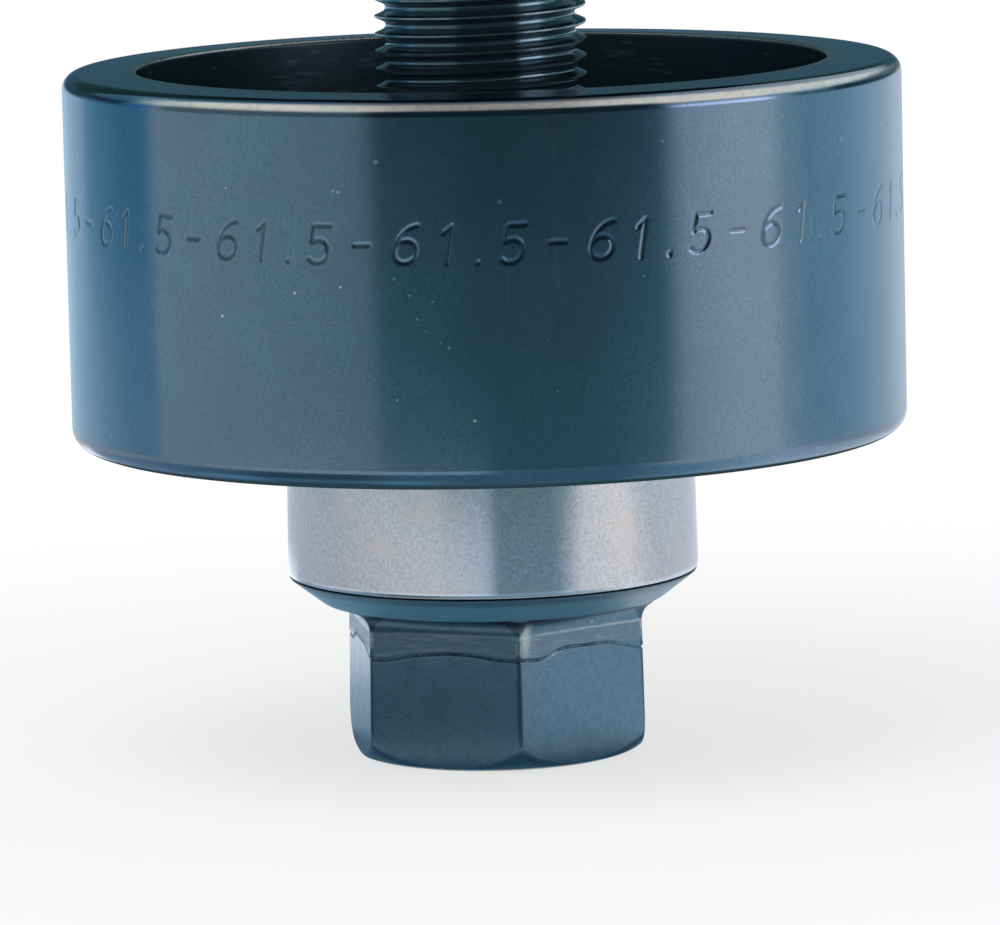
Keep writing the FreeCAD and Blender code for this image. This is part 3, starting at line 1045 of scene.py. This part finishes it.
class KNOCKOUT_OT_die(bpy.types.Operator):
    """Die cup with its cutting edge and stamped size"""
    bl_idname = "knockout.die"
    bl_label = "Die"

    def execute(self, context):
        points, faces = die_mesh(context.scene.knockout_form)
        make_piece("die_cup_surface", points, faces, "die_cup",
                   die_finish(context.scene.knockout_finish), "die")
        return {"FINISHED"}


# Punch

punch_bore = 24.25 * MM
punch_land_top = punch_low.z + 10.5 * MM
punch_chamfer = 1.5 * MM
# The thread in the punch's hub, a sleeve that stays clear of the hub's ends and of the stud's thread
hub_foot = punch_low.z + 9.5 * MM
hub_end_gap = 0.02 * MM
hub_thread_gap = 0.035 * MM
hub_depth_share = 0.93
hub_flare = 0.8 * MM
hub_sleeve_radius = stud_radius + 0.95 * MM


class KNOCKOUT_OT_punch(bpy.types.Operator):
    """Punch finish and the thread in its hub"""
    bl_idname = "knockout.punch"
    bl_label = "Punch"

    def execute(self, context):
        form = context.scene.knockout_form
        finish = context.scene.knockout_finish
        dress(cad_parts["punch"], punch_finish(finish))
        bottom, top = hub_foot + hub_end_gap, punch_high.z - hub_end_gap
        height, share, angle = thread_grid(form, bottom, top)
        radius = stud_radius + hub_thread_gap - form.thread_depth * hub_depth_share * share
        flare = np.maximum(bottom + hub_flare - height, height - top + hub_flare)
        radius = np.maximum(radius, stud_radius + np.minimum(flare, hub_flare))
        sleeve = np.array([[hub_sleeve_radius, bottom], [hub_sleeve_radius, top]])
        points = np.concatenate([round_axis(radius, height, angle[None, :]), turned(sleeve, turn_columns)])
        rows = len(radius)
        inner_foot, inner_top, outer_foot, outer_top = (
            row * turn_columns for row in (0, rows - 1, rows, rows + 1))
        joined = ((inner_foot, outer_foot), (outer_foot, outer_top), (outer_top, inner_top))
        rings = [ring_faces(low, high, turn_columns) for low, high in joined]
        faces = np.concatenate([helical_faces(rows)[:, ::-1], *rings]).tolist()
        make_piece("punch_thread", points, faces, "punch_head", thread_finish(finish), None)
        return {"FINISHED"}


# Stage

# What the ring of cards shows to polished metal: (direction in degrees, colour)
wall_tones = (
    (-180, (0.75, 0.88, 0.91)), (-150, (0.63, 0.78, 0.77)),
    (-118.5, (0.46, 0.61, 0.63)), (-115, (0.20, 0.38, 0.40)), (-90, (0.13, 0.26, 0.28)),
    (-66, (0.15, 0.28, 0.30)), (-46, (0.22, 0.40, 0.46)), (-40, (0.95, 1.02, 1.04)),
    (-26, (1.34, 1.31, 1.26)), (-14, (1.36, 1.36, 1.34)), (-10, (0.85, 1.03, 1.06)),
    (0, (0.56, 0.85, 0.96)), (16, (0.66, 0.96, 1.08)), (28, (0.82, 1.08, 1.22)),
    (50, (0.84, 1.00, 1.12)), (68, (0.58, 0.68, 0.80)), (100, (0.52, 0.68, 0.84)),
    (120, (0.58, 0.84, 1.04)), (140, (0.60, 0.86, 1.06)),
    (154, (0.46, 0.75, 0.92)), (165, (0.35, 0.65, 0.83)), (176, (0.36, 0.66, 0.84)),
    (178.5, (0.75, 0.88, 0.91)),
)
floor_near_tones = (
    (-180, (0.40, 0.55, 0.72)), (-155, (0.26, 0.42, 0.54)), (-142, (0.12, 0.23, 0.29)),
    (-122, (0.12, 0.23, 0.28)), (-110, (0.22, 0.39, 0.47)), (-60, (0.24, 0.40, 0.49)),
    (-45, (0.50, 0.78, 0.90)), (-20, (1.16, 1.28, 1.36)), (10, (1.12, 1.18, 1.26)),
    (60, (0.85, 0.95, 1.05)), (98, (0.68, 0.86, 1.05)), (120, (0.62, 0.82, 1.02)),
    (140, (0.42, 0.56, 0.72)), (179.9, (0.40, 0.55, 0.72)),
)
floor_far_tones = (
    (-180, (0.74, 0.78, 0.83)), (-150, (0.93, 0.94, 0.97)), (-118, (1.02, 1.05, 1.08)),
    (-97, (0.86, 1.02, 1.17)), (-91.5, (0.68, 0.88, 1.05)), (-88, (0.26, 0.41, 0.51)),
    (-57, (0.24, 0.40, 0.50)), (-52, (0.46, 0.60, 0.70)), (-42, (1.12, 1.12, 1.14)),
    (-12, (1.24, 1.22, 1.22)), (6, (0.88, 0.91, 0.96)), (50, (0.80, 0.89, 0.98)),
    (120, (0.64, 0.72, 0.82)), (179.9, (0.74, 0.78, 0.83)),
)
floor_foot_tone = (0.14, 0.27, 0.35)
floor_ring_tone = (0.80, 0.80, 0.80)
floor_back_tone = (1.36, 1.48, 1.62)
behind_tone = (0.05, 0.12, 0.17)
behind_high_tone = (0.03, 0.075, 0.07)
front_high_tone = (0.03, 0.06, 0.08)
# Loss of red, green and blue high on the left, their gain in the bright card, and the blue card
left_top_loss = np.array([0.5, 0.25, 0.18])
lamp_tint = np.array([1.7, 1.35, 1.9])
seam_tone = (0.15, 0.42, 1.1)
# The standing cards keep their tones up to the rim; these are the levels of the dome's lower rows
wall_rim = 58 * MM
wall_levels = np.array([0.5, 5, 8, 20, 36, 50, 56, 60, 66, 72, 78, 84, 90, 96, 102, 110]) * MM
# Rings of the lying cards
sheet_radii = np.array([12, 16, 17.5, 20, 24, 28, 40, 52, 66, 80, 96, 104, 112, 140, 179.5]) * MM
sheet_level = 0.3 * MM
# The height that directions upwards are measured from
eye_level = 62 * MM
card_directions = np.arange(-180, 180, 1.0)[None, :]
floor_radii = (0.1 * MM, 100 * MM, 3000 * MM)
floor_columns = 64
# Radii over which the floor turns plain white
floor_white = (60 * MM, 160 * MM)
lamp_place = (-150 * MM, -250 * MM, 600 * MM)
lamp_direction = (150 * MM, 250 * MM, -580 * MM)
lamp_width = 500 * MM


def glow_material(name):
    """A card that shows its own colour, held in the mesh."""
    material, tree = new_material(name)
    colour = add_node(tree, "Attribute", {"attribute_name": "tone"}, output="Color")
    shader = add_node(tree, "Emission", None, {"Color": colour, "Strength": 1.0})
    add_node(tree, "OutputMaterial", None, {"Surface": shader})
    return material


def round_tones(tones, degrees):
    """Colours read round a circle from (direction, colour) stops, straight between them."""
    stops = [tone[0] for tone in tones]
    return np.stack([np.interp(degrees, stops, [tone[1][k] for tone in tones]) for k in range(3)], -1)


def card_mesh(name, points, colour, material):
    """An open round sheet of cards with a colour at each point of its grid."""
    mesh = bpy.data.meshes.new(name)
    mesh.from_pydata(points.reshape(-1, 3), [], grid_faces(*points.shape[:2]).tolist())
    tone = mesh.color_attributes.new("tone", "FLOAT_COLOR", "POINT")
    rgba = np.concatenate([colour, np.ones(colour.shape[:-1] + (1,))], -1)
    tone.data.foreach_set("color", rgba.astype(np.float32).ravel())
    mesh.materials.append(material)
    return bpy.data.objects.new(name, mesh)


def share_between(low, high, value):
    """Smooth step of arrays: 0 below low, 1 above high."""
    return smooth_step((value - low) / (high - low))[..., None]


def facing(degrees, middle, reach, edge):
    """1 in directions within a reach of the middle one, less an edge over which it falls to 0."""
    return share_between(0, edge, reach - np.abs(degrees - middle))


def mixed(low, high, share):
    return np.asarray(low) * (1 - share) + np.asarray(high) * share


def wall_tone(degrees, up):
    """The standing cards up to the rim: darker in front of the die and high on the left."""
    colour = round_tones(wall_tones, degrees) + 0 * up[..., None]
    colour = colour * (1 - 0.45 * facing(degrees, -82, 40, 8) * share_between(20 * MM, 50 * MM, up))
    left_top = facing(degrees, 158, 20, 6) * share_between(22 * MM, 40 * MM, up)
    return colour * (1 - left_top * left_top_loss)


def side_tone(degrees, rise, wall, sky):
    """The sides above the rim: the wall's tones with a bright, a quiet and a blue card, then the sky."""
    level = 1 - share_between(7, 11, rise)
    lamp = facing(degrees, -28, 17, 4) * level
    quiet = facing(degrees, 32, 40, 6) * level
    left_end = facing(degrees, 140, 30, 8)
    colour = wall * (1 - 0.5 * facing(degrees, -149, 32, 4)) * (1 + lamp * lamp_tint) * (1 - 0.55 * quiet)
    colour = mixed(colour, seam_tone, 0.7 * facing(degrees, 172, 6, 3) * level)
    return mixed(colour, sky, share_between(12, 36, rise) * (1 - left_end)) * (1 - 0.35 * left_end)


def high_tone(degrees, up, ahead, wall):
    """The cards above the rim: dark in front and behind, the side's tones between, bright overhead."""
    rise = np.degrees(np.arcsin(ahead[..., 2]))
    sky = 0.42 + 0.62 * share_between(0.15, 0.6, np.abs(ahead[..., 0]))
    middle = mixed(front_high_tone, sky, share_between(-3, 3, rise - 30))
    colour = mixed(side_tone(degrees, rise, wall, sky), middle, facing(degrees, -82, 40, 5))
    low = facing(degrees, 87.5, 78.5, 4) * (1 - share_between(13, 17, rise))
    low = low * (1 - facing(degrees, 140, 30, 8) * (1 - share_between(70 * MM, 76 * MM, up)))
    behind = np.maximum(facing(degrees, 101, 42, 5), low)
    return mixed(colour, mixed(behind_tone, behind_high_tone, share_between(9, 14, rise)), behind)


def card_dome(stage, material):
    """Cards standing in a ring and closing overhead, over the tones of the floor at their foot."""
    degrees = card_directions
    reach = stage.card_radius
    swing = np.radians(np.linspace(0, 88, 30))[1:]
    radius = np.concatenate([np.full(len(wall_levels), reach), reach * np.cos(swing)])
    height = np.concatenate([wall_levels, wall_levels[-1] + reach * np.sin(swing)])
    points = round_axis(radius[:, None], height[:, None], np.radians(degrees))
    up = points[..., 2]
    ahead = points - np.array([0, 0, eye_level])
    ahead = ahead / np.linalg.norm(ahead, axis=-1, keepdims=True)
    wall = wall_tone(degrees, up)
    colour = mixed(round_tones(floor_far_tones, degrees), wall, share_between(5 * MM, 9 * MM, up))
    above = share_between(wall_rim, wall_rim + 6 * MM, up)
    colour = mixed(colour, high_tone(degrees, up, ahead, wall), above)
    return card_mesh("card_dome", points, colour, material)


def card_sheet(material):
    """Cards lying flat: dark at the foot, a pale ring in front, then a near and a far tone."""
    degrees = card_directions
    radius = sheet_radii[:, None]
    points = round_axis(radius, sheet_level, np.radians(degrees))
    out = radius + 0 * degrees
    near = round_tones(floor_near_tones, degrees)
    behind = facing(degrees, 115, 27, 12) * share_between(38 * MM, 66 * MM, out)
    near = mixed(near, floor_back_tone, behind)
    front = facing(degrees, -90, 75, 10)
    near = mixed(near, floor_ring_tone, front * (1 - share_between(23 * MM, 27 * MM, out)))
    near = mixed(floor_foot_tone, near, share_between(16 * MM, 20 * MM, out))
    inner = behind * (1 - share_between(112 * MM, 128 * MM, out))
    far = mixed(round_tones(floor_far_tones, degrees), near, inner)
    colour = mixed(near, far, share_between(96 * MM, 112 * MM, out))
    return card_mesh("card_sheet", points, colour, material)


def seen_by_reflections_only(card):
    for ray in ("camera", "diffuse", "shadow", "transmission", "volume_scatter"):
        setattr(card, "visible_" + ray, False)


def white_for_viewers(tree):
    """1 where the camera, a reflection or a refraction looks, and 0 for the light on dull surfaces."""
    rays = [add_node(tree, "LightPath", output=ray)
            for ray in ("Is Camera Ray", "Is Glossy Ray", "Is Transmission Ray")]
    return (rays[0] + rays[1] + rays[2]).maths("MINIMUM", 1.0)


def build_world(stage):
    """White wherever it is looked at, and a softer level of light on dull surfaces."""
    world = bpy.data.worlds.new("studio")
    bpy.context.scene.world = world
    world.use_nodes = True
    tree = world.node_tree
    tree.nodes.clear()
    strength = stage.ambient + (1 - stage.ambient) * white_for_viewers(tree)
    background = add_node(tree, "Background", None, {"Color": (1, 1, 1, 1), "Strength": strength})
    add_node(tree, "OutputWorld", None, {"Surface": background})


def floor_material():
    """Pale paper that takes the object's shadow and turns plain white away from it."""
    material, tree = new_material("pale_floor")
    radius = where(tree)[2]
    paper = add_node(tree, "BsdfDiffuse", None, {"Color": (0.9, 0.9, 0.9, 1)})
    white = add_node(tree, "Emission", None, {"Color": (1, 1, 1, 1), "Strength": 1.0})
    share = white_for_viewers(tree) * (0.7 + 0.3 * radius.within(*floor_white))
    shader = add_node(tree, "MixShader", None, {0: share, 1: paper, 2: white})
    add_node(tree, "OutputMaterial", None, {"Surface": shader})
    return material


def aim(stage):
    """Camera matrix: it looks at its target from the front, raised and rolled."""
    rise, roll = stage.camera_elevation, stage.camera_roll
    forward = Vector((0, math.cos(rise), -math.sin(rise)))
    side = Vector((1, 0, 0))
    up = Vector((0, math.sin(rise), math.cos(rise)))
    turned_side = math.cos(roll) * side + math.sin(roll) * up
    turned_up = math.cos(roll) * up - math.sin(roll) * side
    matrix = Matrix((turned_side, turned_up, -forward)).transposed().to_4x4()
    matrix.translation = Vector(stage.camera_target) - stage.camera_distance * forward
    return matrix


def new_camera(stage):
    """The photograph's camera."""
    camera = bpy.data.objects.new("camera", bpy.data.cameras.new("camera"))
    camera.data.sensor_width = 36
    camera.data.lens = stage.camera_lens
    camera.data.clip_start = 50 * MM
    camera.data.clip_end = 10000 * MM
    camera.matrix_world = aim(stage)
    return camera


def new_floor():
    """A wide disc that faces up."""
    floor = bpy.data.objects.new("floor", bpy.data.meshes.new("floor"))
    disc = turned(np.array([[radius, 0] for radius in floor_radii]), floor_columns)
    faces = grid_faces(len(floor_radii), floor_columns)[:, ::-1].tolist() + [list(range(floor_columns))]
    floor.data.from_pydata(disc.reshape(-1, 3), [], faces)
    floor.data.materials.append(floor_material())
    return floor


def new_lamp(stage):
    """A large overhead lamp that isn't seen in reflections."""
    data = bpy.data.lights.new("overhead", "AREA")
    data.shape = "DISK"
    data.size = lamp_width
    data.energy = stage.key_power
    lamp = bpy.data.objects.new("overhead", data)
    lamp.location = lamp_place
    lamp.rotation_euler = Vector(lamp_direction).to_track_quat("-Z", "Y").to_euler()
    lamp.visible_glossy = False
    return lamp


class KNOCKOUT_OT_stage(bpy.types.Operator):
    """Camera, floor, cards and light"""
    bl_idname = "knockout.stage"
    bl_label = "Stage"

    def execute(self, context):
        stage = context.scene.knockout_stage
        scene = context.scene
        scene.camera = new_camera(stage)
        scene.view_settings.view_transform = "Standard"
        build_world(stage)
        floor = new_floor()
        tones = glow_material("card_tone")
        cards = [card_dome(stage, tones), card_sheet(tones)]
        for card in cards:
            seen_by_reflections_only(card)
        for item in (scene.camera, floor, new_lamp(stage), *cards):
            scene.collection.objects.link(item)
        return {"FINISHED"}


class KNOCKOUT_PT_panel(bpy.types.Panel):
    """Lists the pieces and their settings"""
    bl_idname = "KNOCKOUT_PT_panel"
    bl_label = "Knockout punch"
    bl_space_type = "VIEW_3D"
    bl_region_type = "UI"
    bl_category = "Knockout"

    def draw(self, context):
        for operator in piece_operators:
            self.layout.operator(operator.bl_idname)
        for group in setting_groups:
            settings = getattr(context.scene, group)
            for name in settings.__annotations__:
                self.layout.prop(settings, name)


piece_operators = (
    KNOCKOUT_OT_stage,
    KNOCKOUT_OT_stud_head,
    KNOCKOUT_OT_stud_thread,
    KNOCKOUT_OT_bearing_shell,
    KNOCKOUT_OT_bearing_inside,
    KNOCKOUT_OT_die,
    KNOCKOUT_OT_punch,
)
setting_groups = {
    "knockout_form": KnockoutForm,
    "knockout_finish": KnockoutFinish,
    "knockout_stage": KnockoutStage,
}


def register():
    for name, group in setting_groups.items():
        bpy.utils.register_class(group)
        setattr(bpy.types.Scene, name, PointerProperty(type=group))
    for operator in piece_operators:
        bpy.utils.register_class(operator)
    bpy.utils.register_class(KNOCKOUT_PT_panel)


def unregister():
    bpy.utils.unregister_class(KNOCKOUT_PT_panel)
    for operator in reversed(piece_operators):
        bpy.utils.unregister_class(operator)
    for name, group in setting_groups.items():
        delattr(bpy.types.Scene, name)
        bpy.utils.unregister_class(group)


def main():
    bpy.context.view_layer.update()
    register()
    for operator in piece_operators:
        group, name = operator.bl_idname.split(".")
        getattr(getattr(bpy.ops, group), name)()


if __name__ == "__main__":
    main()
